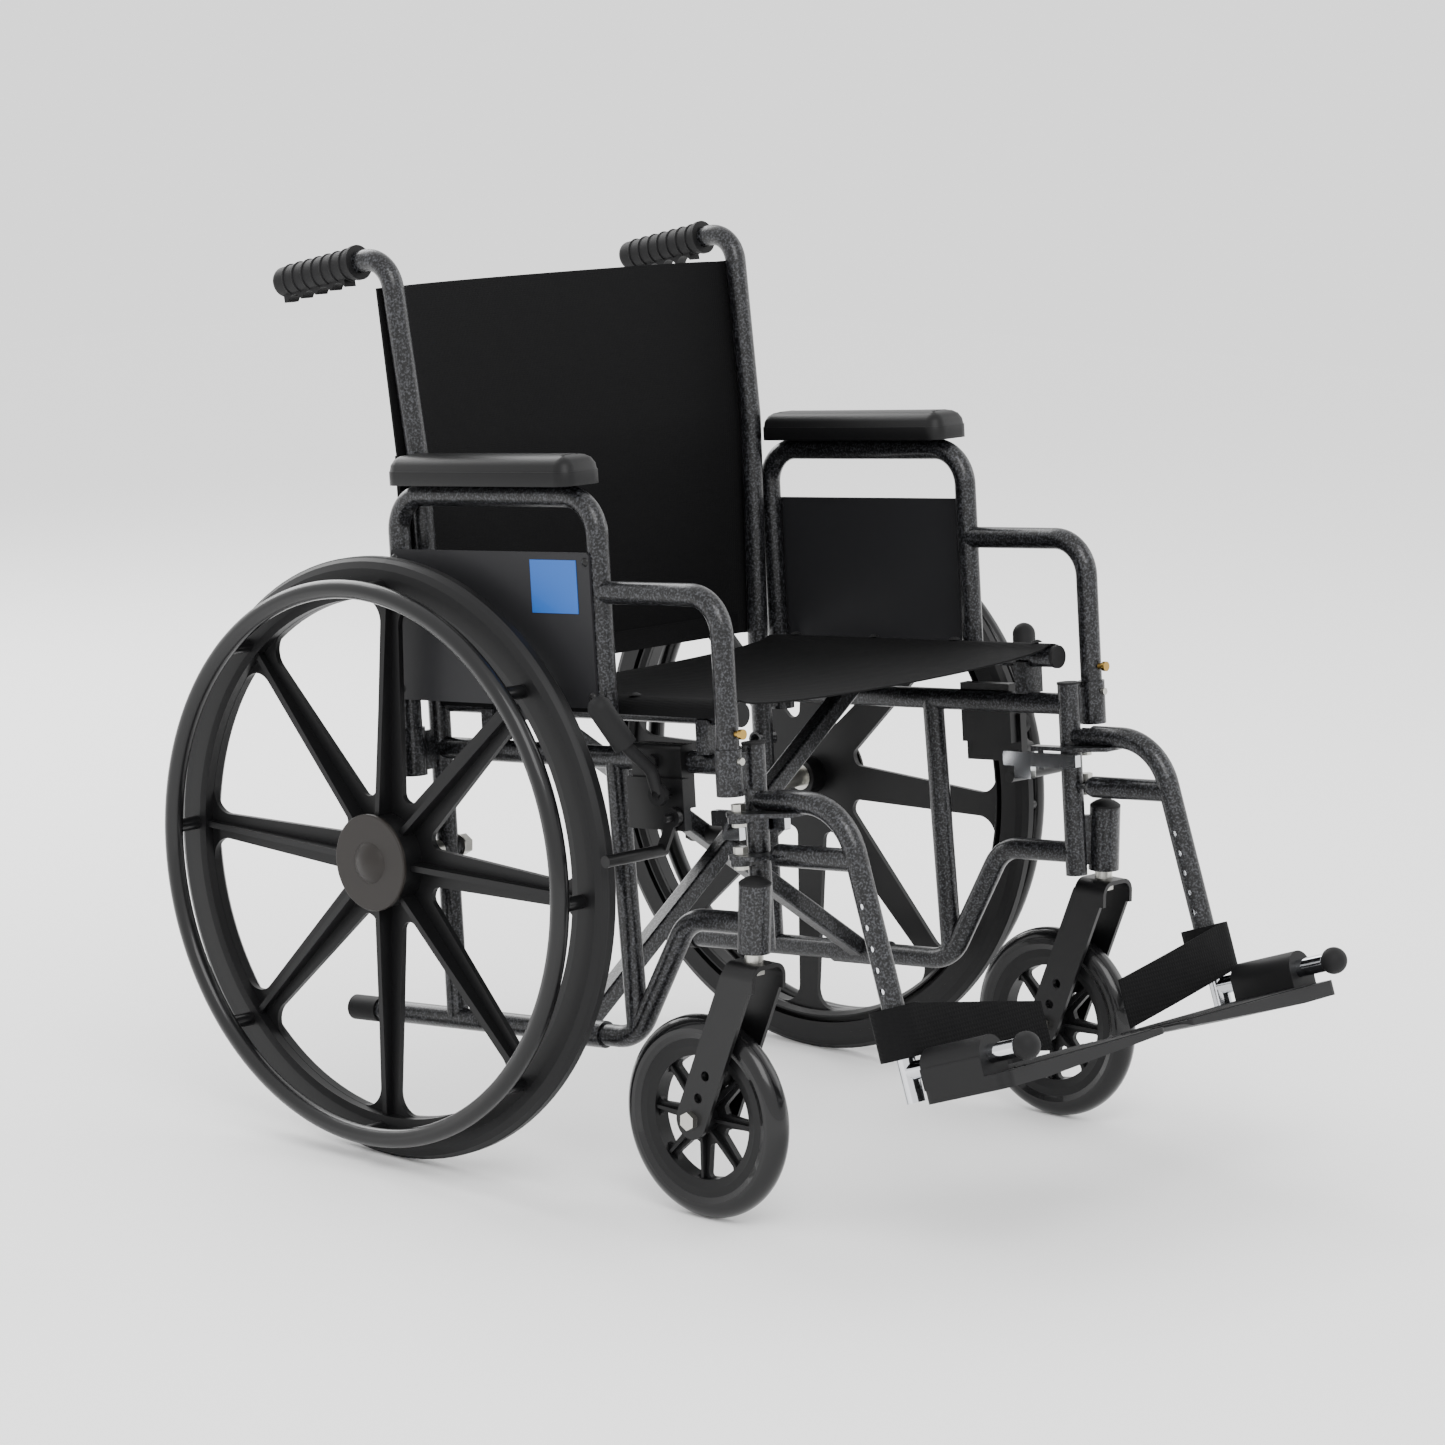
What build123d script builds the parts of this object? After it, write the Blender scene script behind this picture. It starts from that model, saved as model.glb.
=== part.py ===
from build123d import *
import os
from math import asin, cos, pi, radians, sin, sqrt, tan

# Folding manual wheelchair. Millimetres, +Z up, the chair faces -Y, the sitter's left is +X.
# Each side is modelled as the LEFT one and mirrored for the right one.
# Tubes of the side frame are drawn in frame coordinates: origin at the rear axle, Z square
# to the rails. The whole frame is then pitched nose up about that axle.

# ---- overall ----
WHEEL_R = 305.0            # rear tyre, 24 inch
WHEEL_X = 323.9            # rear tyre's middle plane from the chair's middle plane
CASTER_R = 100.0           # front tyre, 8 inch
CASTER_X = 272.5           # caster head tube from the chair's middle plane
CASTER_HEAD_Y = -442.0     # caster head tube in front of the rear axle
CASTER_TRAIL = 57.0        # caster axle behind its head tube
FRAME_PITCH = 5.0          # degrees, rails rise towards the front
RAIL_X = 243.6             # side frame tubes from the middle plane

# ---- tube stock ----
TUBE_R = 11.1              # 7/8 inch tube
TUBE_WALL = 1.6
SLIDE_GAP = 0.35           # radial clearance of a post in its socket
RUN_GAP = 0.08             # radial clearance of a pin, axle or sleeve that turns
REST_GAP = 0.3             # gap between parts of different bodies that only rest together

# ---- side frame, in frame coordinates ----
LOWER_Z = -176.0           # lower rail
LOWER_REAR_Y = 146.0       # rear end of the lower rail (tipping tube)
RISE_Y = -250.0            # where the lower rail turns up
RISE_LEAN = 32.0           # degrees from upright of the rising stretch
FRONT_RAIL_Z = -51.5       # short rail ahead of the rise
UPPER_Z = 102.6            # upper rail
UPRIGHT_Y = -424.5         # front upright
UPRIGHT_LOW_Z = -75.0
UPRIGHT_TOP_Z = 123.5
MID_TOP_Y = -243.0         # middle strut, where it leaves the upper rail
CANE_JOINT_Z = 145.0       # back cane plugs into the rear upright here
AXLE_PITCH = 50.0          # second axle hole above the first
AXLE_R = 6.35              # 1/2 inch axle bolt
AXLE_SLEEVE_R = 9.0
AXLE_SLEEVE_HALF = 13.0

# ---- back cane and push handle ----
CANE_TOP_X = 258.4         # canes spread to this at the handle
BACK_BEND_Z = 400.0
BACK_BEND = 5.0            # degrees of lean above the bend
HANDLE_BEND_Y = 17.6       # where the cane turns back into the handle
HANDLE_BEND_Z = 601.5
HANDLE_DROP = 9.0          # degrees the handle slopes down towards its end
HANDLE_END_Y = 171.0
GRIP_LENGTH = 118.0
GRIP_R = 15.6
GRIP_WALL = 6.0            # rubber beyond the tube's end

# ---- armrest ----
ARM_X = 281.0
ARM_REAR_Y = 3.0
ARM_FRONT_Y = -270.5
ARM_NOSE_Y = -426.0        # forward post, in the front socket
ARM_TOP_Z = 362.5
ARM_NOSE_Z = 269.5
ARM_FRONT_LOW_Z = 142.0
ARM_BEND_R = 38.0
SOCKET_R = 13.5
REAR_SOCKET_Z = (79.0, 127.5)
FRONT_SOCKET_Z = (78.5, 123.0)
PANEL_Z = (157.7, 309.0)
PANEL_THICK = 2.8
PAD_LENGTH = 252.0
PAD_WIDTH = 58.0
PAD_HEIGHT = 30.0
PAD_FRONT_Y = -259.0
BUTTON_Z = 138.0

# ---- folding brace and seat rails ----
BRACE_LEFT_Y = -128.0      # brace that turns on the left lower rail
BRACE_RIGHT_Y = -170.0     # brace that turns on the right lower rail
BRACE_SIDE = 19.0          # square tube
BRACE_WALL = 1.6
SLEEVE_HALF = 38.0         # pivot sleeve on the lower rail
SLEEVE_R = 13.6
SEAT_X = 245.0
SEAT_Z = 151.0
SEAT_REAR_Y = -20.0
SEAT_FRONT_Y = -409.0
SEAT_SAG = 13.0
SLING_THICK = 3.0
SADDLE_YS = (-82.0, -372.0)
SEAT_SCREW_YS = (-55.0, -165.0, -275.0, -385.0)
SEAT_SCREW_R = 2.2
PIVOT_BOLT_R = 5.0

# ---- front rigging ----
HINGE_X = 268.0            # hinge pins, outboard of the front upright
HINGE_Y = -423.0
HINGE_PIN_R = 4.75
UPPER_HINGE_Z = 57.0       # underside of the hanger's upper plate
LOWER_HINGE_Z = 16.0       # underside of the hanger's lower tab
HINGE_PLATE = 4.2
LATCH_X = 225.6            # release lever's pivot, inboard of the front upright
LATCH_Y = -399.0
HANGER_X = 244.5
HANGER_TOP_Z = 70.0
HANGER_BEND_R = 60.0
HANGER_LEAN = 14.46        # degrees from frame upright
HANGER_LINE_Y = -555.9     # a point on the slanting tube
HANGER_LINE_Z = -10.9
STEM_BAR_DOWN = 173.4      # footplate bar, along the slanting tube from that point
HANGER_END_DOWN = 150.0
STEM_TOP_DOWN = 4.0
STEM_TAIL = 29.5           # stem beyond the bar
STEM_R = 9.4
BAR_R = 9.0
BAR_LENGTH = 141.0
BALL_R = 13.5
HOLE_FIRST_DOWN = 13.2
HOLE_PITCH = 20.5
HOLE_COUNT = 6
BLOCK_U = (30.0, 105.0)    # footplate hinge block, along the bar
BLOCK_TOP = 18.0
PLATE_TOP = 18.5           # tread below the bar
PLATE_U = (25.0, 130.0)
PLATE_OUT_X = 264.0
PLATE_IN_X = 14.0
PLATE_THICK_OUT = 15.0
PLATE_THICK_IN = 6.0
STRAP_WIDTH = 50.0
STRAP_THICK = 2.4
STRAP_LOOP_R = 25.0
STRAP_TOP_DOWN = 111.0

# ---- wheels ----
TYRE_HALF = 13.0
TYRE_DEPTH = 24.0
SPOKES = 8
HANDRIM_X = 367.5
HANDRIM_OUT_R = 285.9
HANDRIM_TUBE_R = 9.5
HUB_FACE_X = 350.0
HUB_BACK_X = 300.0
HUB_R = 47.0
HUB_CAP_R = 49.0
BEARING_R = 14.3
BEARING_WIDTH = 8.0
CASTER_HALF = 14.0
CASTER_RIM_R = 78.0
CASTER_HUB_HALF = 17.0
CASTER_AXLE_R = 5.0
FORK_INNER = 20.0
FORK_PLATE = 4.5
FORK_WIDTH = 38.0
FORK_CORNER = 14.5
FORK_PITCH = 25.0
FORK_TOP_Z = 262.0
HEAD_R = 15.9
HEAD_WALL = 2.5
HEAD_Z = (271.0, 337.0)
HEAD_CAP_TOP = 345.4
STEM_BOLT_R = 6.0

# ---- brake ----
BRAKE_CLAMP_Y = (-346.0, -281.0)
BRAKE_PIVOT_Y = -331.0
BRAKE_PIVOT_Z = 75.0
SHOE_PIVOT_Y = -340.0
SHOE_PIVOT_Z = 52.0
SHOE_Z = 19.0
SHOE_GAP = 12.0            # shoe to tyre, brake off
SHOE_R = 6.0
SHOE_END_X = 350.0

BORE_R = TUBE_R - TUBE_WALL
LEAN = radians(HANGER_LEAN)
DOWN = Vector(0, -sin(LEAN), -cos(LEAN))       # along the slanting hanger tube
AHEAD = Vector(0, -cos(LEAN), sin(LEAN))       # along the footplate bar
LINE = Vector(HANGER_X, HANGER_LINE_Y, HANGER_LINE_Z)
BAR_FOOT = LINE + DOWN * STEM_BAR_DOWN
CASTER_AXLE_Y = CASTER_HEAD_Y + CASTER_TRAIL
BRACE_RUN = RAIL_X + SEAT_X
BRACE_RISE = SEAT_Z - LOWER_Z
BRACE_CENTRE_Z = LOWER_Z + BRACE_RISE * RAIL_X / BRACE_RUN

PITCHED = Location((0, 0, WHEEL_R), (-FRAME_PITCH, 0, 0))
AXLE = Location((0, 0, WHEEL_R))


# ---- shapes that repeat ----

def rod(a, b, radius):
    """A round bar from point a to point b."""
    a, b = Vector(*a), Vector(*b)
    along = b - a
    return Plane(origin=a, z_dir=along) * Cylinder(
        radius, along.length, align=(Align.CENTER, Align.CENTER, Align.MIN)
    )


def solid_of(shape):
    """The single solid of a shape that is one piece."""
    return shape.solids()[0]


def ring(a, b, outer, inner):
    """A plain sleeve, washer or spacer from a to b."""
    return rod(a, b, outer) - rod(a, b, inner)


def block(x, y, z):
    """A box between pairs of limits."""
    return Pos(min(x), min(y), min(z)) * Box(
        abs(x[1] - x[0]), abs(y[1] - y[0]), abs(z[1] - z[0]), align=(Align.MIN,) * 3
    )


def hexagon(a, b, flats):
    """A hexagon head or nut from a to b, with its size across flats."""
    a, b = Vector(*a), Vector(*b)
    outline = Plane(origin=a, z_dir=b - a) * RegularPolygon(flats / 2, 6, major_radius=False)
    return extrude(outline, amount=(b - a).length, dir=b - a)


def bent(points, radius, bends=()):
    """A round bar along straight runs joined by tangent arcs."""
    if len(points) == 2:
        return rod(points[0], points[1], radius)
    path = FilletPolyline(*points, radius=list(bends))
    return sweep(Plane(origin=path @ 0, z_dir=path % 0) * Circle(radius), path=path)


def hollow(runs, outer, inner):
    """Tubes welded together: every run's outside, less every run's bore."""
    skin = [bent(points, outer, bends) for points, bends in runs]
    bores = [bent(points, inner, bends) for points, bends in runs]
    return skin[0].fuse(*skin[1:]) - bores[0].fuse(*bores[1:]) if len(runs) > 1 else skin[0] - bores[0]


def dome(base, along, radius, rise):
    """A shallow dome standing on a round base."""
    full = (radius**2 + rise**2) / (2 * rise)
    half = asin(radius / full) / 2
    middle = (full * sin(half), 0, rise - full * (1 - cos(half)))
    outline = make_face(
        [
            Line((0, 0, 0), (radius, 0, 0)),
            ThreePointArc((radius, 0, 0), middle, (0, 0, rise)),
            Line((0, 0, rise), (0, 0, 0)),
        ]
    )
    return Plane(origin=base, z_dir=along) * revolve(outline, axis=Axis.Z)


def spun(points, centre_x=0.0):
    """A body turned about the X axis from an outline of (radius, x) points."""
    outline = make_face(Polyline(*[(centre_x + x, 0, r) for r, x in points], close=True))
    return revolve(outline, axis=Axis.X)


def spoked_web(hub_r, rim_r, half_hub, half_rim, thick, inner_fillet, outer_fillet):
    """A disc across the X axis with a rounded window between each pair of spokes."""
    step = 2 * pi / SPOKES
    windows = []
    across = Vector(0, cos(pi / 2 + step), sin(pi / 2 + step))
    up, side = Vector(0, 0, 1), Vector(0, -1, 0)
    back = Vector(0, -across.Z, across.Y)
    lower_a, lower_b = up * hub_r + side * half_hub, across * hub_r - back * half_hub
    upper_a, upper_b = up * rim_r + side * half_rim, across * rim_r - back * half_rim
    middle = Vector(0, cos(pi / 2 + step / 2), sin(pi / 2 + step / 2))
    outline = make_face(
        [
            Line(lower_a, upper_a),
            ThreePointArc(upper_a, middle * sqrt(rim_r**2 + half_rim**2), upper_b),
            Line(upper_b, lower_b),
            Line(lower_b, lower_a),
        ]
    )
    window = extrude(outline, amount=thick, dir=(1, 0, 0), both=True)
    posts = window.edges().filter_by(Axis.X)
    near = posts.filter_by(lambda e: Vector(0, e.center().Y, e.center().Z).length < rim_r * 0.7)
    far = posts.filter_by(lambda e: Vector(0, e.center().Y, e.center().Z).length >= rim_r * 0.7)
    window = fillet(near, inner_fillet)
    far = window.edges().filter_by(Axis.X).filter_by(
        lambda e: Vector(0, e.center().Y, e.center().Z).length >= rim_r * 0.85
    )
    window = fillet(far, outer_fillet)
    for k in range(SPOKES):
        windows.append(Rot(360 / SPOKES * k, 0, 0) * window)
    disc = rod((-thick / 2, 0, 0), (thick / 2, 0, 0), rim_r + 4)
    return disc - windows


# ---- side frame ----

def side_frame():
    """The welded side: rails, struts, uprights, sockets, hinge lugs and the caster head."""
    rise_y = RISE_Y - (FRONT_RAIL_Z - LOWER_Z) * tan(radians(RISE_LEAN))
    runs = [
        (
            [
                (RAIL_X, LOWER_REAR_Y, LOWER_Z),
                (RAIL_X, RISE_Y, LOWER_Z),
                (RAIL_X, rise_y, FRONT_RAIL_Z),
                (RAIL_X, UPRIGHT_Y, FRONT_RAIL_Z),
            ],
            (44.0, 40.0),
        ),
        ([(RAIL_X, -3, UPPER_Z), (RAIL_X, UPRIGHT_Y + 3, UPPER_Z)], ()),
        ([(RAIL_X, MID_TOP_Y, UPPER_Z), (RAIL_X, RISE_Y - 2, LOWER_Z + 8)], ()),
        ([(RAIL_X, 0, LOWER_Z), (RAIL_X, 0, CANE_JOINT_Z)], ()),
        ([(RAIL_X, UPRIGHT_Y, UPRIGHT_LOW_Z), (RAIL_X, UPRIGHT_Y, UPRIGHT_TOP_Z)], ()),
    ]
    frame = hollow(runs, TUBE_R, BORE_R)
    sockets = [(ARM_REAR_Y, REAR_SOCKET_Z, 0.0), (ARM_NOSE_Y, FRONT_SOCKET_Z, UPRIGHT_Y)]
    for y, (low, high), post_y in sockets:
        frame += block(
            (RAIL_X + BORE_R + 0.5, ARM_X - SOCKET_R + 1), (post_y - 3, post_y + 3), (low + 4, high - 5)
        )
        frame += rod((ARM_X, y, low), (ARM_X, y, high), SOCKET_R)
        frame -= rod((ARM_X, y, low), (ARM_X, y, high), TUBE_R + SLIDE_GAP)
    for k in range(2):
        a = (RAIL_X - AXLE_SLEEVE_HALF, 0, AXLE_PITCH * k)
        b = (RAIL_X + AXLE_SLEEVE_HALF, 0, AXLE_PITCH * k)
        frame += rod(a, b, AXLE_SLEEVE_R)
        frame -= rod(a, b, AXLE_R)
    for under in (UPPER_HINGE_Z, LOWER_HINGE_Z):
        z = (under - REST_GAP - 6, under - REST_GAP)
        lug = block((RAIL_X + BORE_R + 0.5, HINGE_X), (HINGE_Y - 9, HINGE_Y + 9), z)
        lug += rod((HINGE_X, HINGE_Y, z[0]), (HINGE_X, HINGE_Y, z[1]), 10.5)
        frame += lug - rod((HINGE_X, HINGE_Y, z[0]), (HINGE_X, HINGE_Y, z[1]), HINGE_PIN_R)
    for y in SADDLE_YS:
        saddle = block((SEAT_X - 13, SEAT_X + 13), (y - 8, y + 8), (UPPER_Z + BORE_R + 0.5, SEAT_Z - 5))
        frame += saddle - rod((SEAT_X, y - 8, SEAT_Z), (SEAT_X, y + 8, SEAT_Z), TUBE_R + REST_GAP)
    frame = PITCHED * frame
    # the caster head stands square to the floor, beside the pitched upright
    head = (CASTER_X, CASTER_HEAD_Y)
    upright = (PITCHED * Pos(RAIL_X, UPRIGHT_Y, 0)).position
    toward = Vector(head[0] - upright.X, head[1] - upright.Y, 0)
    gap = toward.length
    web = Plane(origin=(upright.X, upright.Y, HEAD_Z[0] + 6), x_dir=toward, z_dir=(0, 0, 1)) * Box(
        gap - TUBE_R - HEAD_R + 3.4, 6, 52, align=(Align.MIN, Align.CENTER, Align.MIN)
    )
    web = Pos(toward.normalized() * (TUBE_R - 1.4)) * web
    frame += web
    frame += rod((*head, HEAD_Z[0]), (*head, HEAD_Z[1]), HEAD_R)
    frame -= rod((*head, HEAD_Z[0]), (*head, HEAD_Z[1]), HEAD_R - HEAD_WALL)
    return frame


def cane_points():
    """Middle line of the back cane: up, leaning back, then over into the handle."""
    spread = (CANE_TOP_X - RAIL_X) / (HANDLE_BEND_Z - CANE_JOINT_Z)
    drop = tan(radians(HANDLE_DROP)) * (HANDLE_END_Y - HANDLE_BEND_Y)
    return [
        (RAIL_X, 0, CANE_JOINT_Z),
        (RAIL_X + spread * (BACK_BEND_Z - CANE_JOINT_Z), 0, BACK_BEND_Z),
        (CANE_TOP_X, HANDLE_BEND_Y, HANDLE_BEND_Z),
        (CANE_TOP_X, HANDLE_END_Y, HANDLE_BEND_Z - drop),
    ]


def back_cane():
    """The cane and its plug, which slides into the rear upright."""
    points = cane_points()
    points[0] = (RAIL_X, 0, CANE_JOINT_Z + REST_GAP)
    cane = bent(points, TUBE_R, (150.0, 32.0)) - bent(points, BORE_R, (150.0, 32.0))
    z = CANE_JOINT_Z
    plug = rod((RAIL_X, 0, z - 28), (RAIL_X, 0, z), BORE_R - RUN_GAP)
    plug += rod((RAIL_X, 0, z), (RAIL_X, 0, z + 10), BORE_R + 0.4)
    return PITCHED * (cane + plug)


def push_grip():
    """Moulded rubber grip over the handle, with a flange and finger ridges underneath."""
    end = Vector(*cane_points()[-1])
    slope = radians(HANDLE_DROP)
    along = Vector(0, cos(slope), -sin(slope))
    mouth = end + along * (GRIP_WALL - GRIP_LENGTH)
    place = Plane(origin=mouth, x_dir=(1, 0, 0), z_dir=along)
    grip = place * Cylinder(GRIP_R, GRIP_LENGTH, align=(Align.CENTER, Align.CENTER, Align.MIN))
    grip = fillet(grip.edges().sort_by(Axis(mouth, along))[-1:], 7.0)
    grip += place * Cylinder(GRIP_R + 2.2, 4.0, align=(Align.CENTER, Align.CENTER, Align.MIN))
    keel = place * Pos(0, 0, 18) * Box(15, 21.5, 92, align=(Align.CENTER, Align.MIN, Align.MIN))
    for k in range(4):
        keel -= place * Pos(0, 27.0, 29.0 + 22.0 * k) * Rot(0, 90, 0) * Cylinder(11.5, 40)
    grip += keel
    return PITCHED * (grip - rod(mouth, end, TUBE_R))


def frame_caps():
    """Tipping-tube cover, flat plug of the front upright and dome over the caster head."""
    y = LOWER_REAR_Y
    tip = rod((RAIL_X, y - 34, LOWER_Z), (RAIL_X, y + 4, LOWER_Z), TUBE_R + 1.9)
    tip -= rod((RAIL_X, y - 34, LOWER_Z), (RAIL_X, y, LOWER_Z), TUBE_R)
    top = UPRIGHT_TOP_Z
    plug = rod((RAIL_X, UPRIGHT_Y, top), (RAIL_X, UPRIGHT_Y, top + 2), TUBE_R + 0.6)
    plug += rod((RAIL_X, UPRIGHT_Y, top - 12), (RAIL_X, UPRIGHT_Y, top), BORE_R)
    rise = HEAD_CAP_TOP - HEAD_Z[1] - 2
    head = (CASTER_X, CASTER_HEAD_Y)
    lid = dome((*head, HEAD_Z[1] + 2), (0, 0, 1), HEAD_R, rise)
    lid += rod((*head, HEAD_Z[1]), (*head, HEAD_Z[1] + 2), HEAD_R)
    return Compound([solid_of(PITCHED * tip), solid_of(PITCHED * plug), solid_of(lid)])


# ---- rear wheel ----

def rear_wheel():
    """One-piece composite wheel: rim, eight T-section spokes and hub, with bearing seats."""
    web_x = WHEEL_X - 1.0
    seat_r = WHEEL_R - TYRE_DEPTH
    rim = spun(
        [
            (seat_r - 18, -8), (seat_r - 18, 12), (seat_r - 10, TYRE_HALF), (seat_r + 5, TYRE_HALF),
            (seat_r + 5, TYRE_HALF - 2.5), (seat_r, TYRE_HALF - 3.5), (seat_r, 3.5 - TYRE_HALF),
            (seat_r + 5, 2.5 - TYRE_HALF), (seat_r + 5, -TYRE_HALF), (seat_r - 14, -TYRE_HALF),
        ],
        WHEEL_X,
    )
    rim -= spun([(seat_r - 12, -16), (seat_r - 6, -16), (seat_r - 6, -3), (seat_r - 12, -3)], WHEEL_X)
    web = Pos(web_x, 0, 0) * spoked_web(64.0, seat_r - 18.5, 19.0, 12.0, 6.0, 9.0, 22.0)
    rib = extrude(
        make_face(
            Polyline(
                (web_x, -3, 40), (web_x, -3, seat_r - 14), (WHEEL_X + 9, -3, seat_r - 14),
                (WHEEL_X + 20, -3, 40), close=True,
            )
        ),
        amount=6,
        dir=(0, 1, 0),
    )
    wheel = rim + web
    wheel += [Rot(360 / SPOKES * k, 0, 0) * rib for k in range(SPOKES)]
    wheel += ring((web_x, 0, 0), (HUB_FACE_X, 0, 0), HUB_R, HUB_R - 5)
    wheel += rod((HUB_BACK_X, 0, 0), (HUB_FACE_X, 0, 0), BEARING_R + 6)
    wheel -= rod((HUB_BACK_X - 1, 0, 0), (HUB_FACE_X + 1, 0, 0), BEARING_R - 4)
    seats = [(HUB_BACK_X - 1, HUB_BACK_X + BEARING_WIDTH), (HUB_FACE_X - BEARING_WIDTH, HUB_FACE_X + 1)]
    for a, b in seats:
        wheel -= rod((a, 0, 0), (b, 0, 0), BEARING_R + RUN_GAP)
    return AXLE * wheel


def rear_tyre():
    """Solid tyre on the rim's seat, between its two flanges."""
    seat_r = WHEEL_R - TYRE_DEPTH
    points = [
        (seat_r, 3.5 - TYRE_HALF), (seat_r, TYRE_HALF - 3.5), (seat_r + 5, TYRE_HALF - 2.5),
        (seat_r + 5, TYRE_HALF), (WHEEL_R - 11, TYRE_HALF), (WHEEL_R - 4.5, TYRE_HALF - 3.5),
        (WHEEL_R - 1.2, TYRE_HALF - 8), (WHEEL_R, 4), (WHEEL_R, -4), (WHEEL_R - 1.2, 8 - TYRE_HALF),
        (WHEEL_R - 4.5, 3.5 - TYRE_HALF), (WHEEL_R - 11, -TYRE_HALF), (seat_r + 5, -TYRE_HALF),
        (seat_r + 5, 2.5 - TYRE_HALF),
    ]
    return AXLE * spun(points, WHEEL_X)


def handrim():
    """Hand rim with one foot for each spoke, seated on the side of the rim."""
    centre_r = HANDRIM_OUT_R - HANDRIM_TUBE_R
    section = Plane(origin=(HANDRIM_X, centre_r, 0), x_dir=(-1, 0, 0), z_dir=(0, 0, 1))
    hoop = revolve(section * Circle(HANDRIM_TUBE_R), axis=Axis.X)
    hoop = Rot(180 / SPOKES, 0, 0) * hoop
    foot = rod((WHEEL_X + TYRE_HALF, 0, centre_r), (HANDRIM_X - 2, 0, centre_r), 7.0)
    hoop += [Rot(360 / SPOKES * k, 0, 0) * foot for k in range(SPOKES)]
    return AXLE * hoop


def hub_cap():
    """Flat cap over the hub with a dome that clears the axle head."""
    face = HUB_FACE_X + 4
    cap = rod((HUB_FACE_X, 0, 0), (face, 0, 0), HUB_CAP_R)
    cap = fillet(cap.edges().sort_by(Axis.X)[-1:], 2.0)
    cap += dome((face, 0, 0), (1, 0, 0), 21.0, 9.0)
    return AXLE * (cap - rod((HUB_FACE_X - 1, 0, 0), (HUB_FACE_X + 7, 0, 0), 12.6))


def rear_axle_set():
    """Axle bolt and nut, washer, frame spacer and the hub's two ball bearings."""
    inner = RAIL_X - AXLE_SLEEVE_HALF
    outer = RAIL_X + AXLE_SLEEVE_HALF
    bolt = rod((inner - 16, 0, 0), (HUB_FACE_X, 0, 0), AXLE_R)
    bolt += hexagon((HUB_FACE_X, 0, 0), (HUB_FACE_X + 6, 0, 0), 19.0)
    washer = ring((inner - 2, 0, 0), (inner, 0, 0), 12.0, AXLE_R)
    nut = hexagon((inner - 13, 0, 0), (inner - 2, 0, 0), 19.0) - rod(
        (inner - 14, 0, 0), (inner, 0, 0), AXLE_R
    )
    spacer = ring((outer, 0, 0), (HUB_BACK_X, 0, 0), 10.0, AXLE_R)
    first = ring((HUB_BACK_X, 0, 0), (HUB_BACK_X + BEARING_WIDTH, 0, 0), BEARING_R, AXLE_R)
    second = ring((HUB_FACE_X - BEARING_WIDTH, 0, 0), (HUB_FACE_X, 0, 0), BEARING_R, AXLE_R)
    return AXLE * Compound([bolt, washer, nut, spacer, first, second])


# ---- caster ----

def caster_fork():
    """Flat steel bent to a U, its legs leaning back to the axle."""
    outer = FORK_INNER + FORK_PLATE
    low = CASTER_R - FORK_WIDTH
    shell = Pos(0, 0, low) * Box(
        2 * outer, 300, FORK_TOP_Z - low, align=(Align.CENTER, Align.CENTER, Align.MIN)
    )
    shell = fillet(shell.edges().filter_by(Axis.Y).group_by(Axis.Z)[-1], FORK_CORNER)
    inside = Pos(0, 0, low - 1) * Box(
        2 * FORK_INNER, 320, FORK_TOP_Z - FORK_PLATE - low + 1,
        align=(Align.CENTER, Align.CENTER, Align.MIN),
    )
    inside = fillet(inside.edges().filter_by(Axis.Y).group_by(Axis.Z)[-1], FORK_CORNER - FORK_PLATE)
    strap = shell - inside
    half = FORK_WIDTH / 2
    top = Vector(0, 2, FORK_TOP_Z - 16)
    foot = Vector(0, CASTER_TRAIL, CASTER_R)
    along = (foot - top).normalized()
    across = Vector(0, -along.Z, along.Y)
    side = make_face(
        Polyline(top + across * half, top - across * half, foot - across * half, foot + across * half, close=True)
    )
    outline = extrude(side, amount=60, dir=(1, 0, 0), both=True)
    outline += rod((-60, foot.Y, foot.Z), (60, foot.Y, foot.Z), half)
    outline += block((-60, 60), (-half, half), (FORK_TOP_Z - 26, FORK_TOP_Z + 1))
    fork = strap & outline
    for k in range(3):
        hole = foot - along * (FORK_PITCH * k)
        fork -= rod((-60, hole.Y, hole.Z), (60, hole.Y, hole.Z), CASTER_AXLE_R)
    fork -= rod((0, 0, FORK_TOP_Z - 20), (0, 0, FORK_TOP_Z + 2), STEM_BOLT_R)
    return Pos(CASTER_X, CASTER_HEAD_Y, 0) * fork


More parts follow.
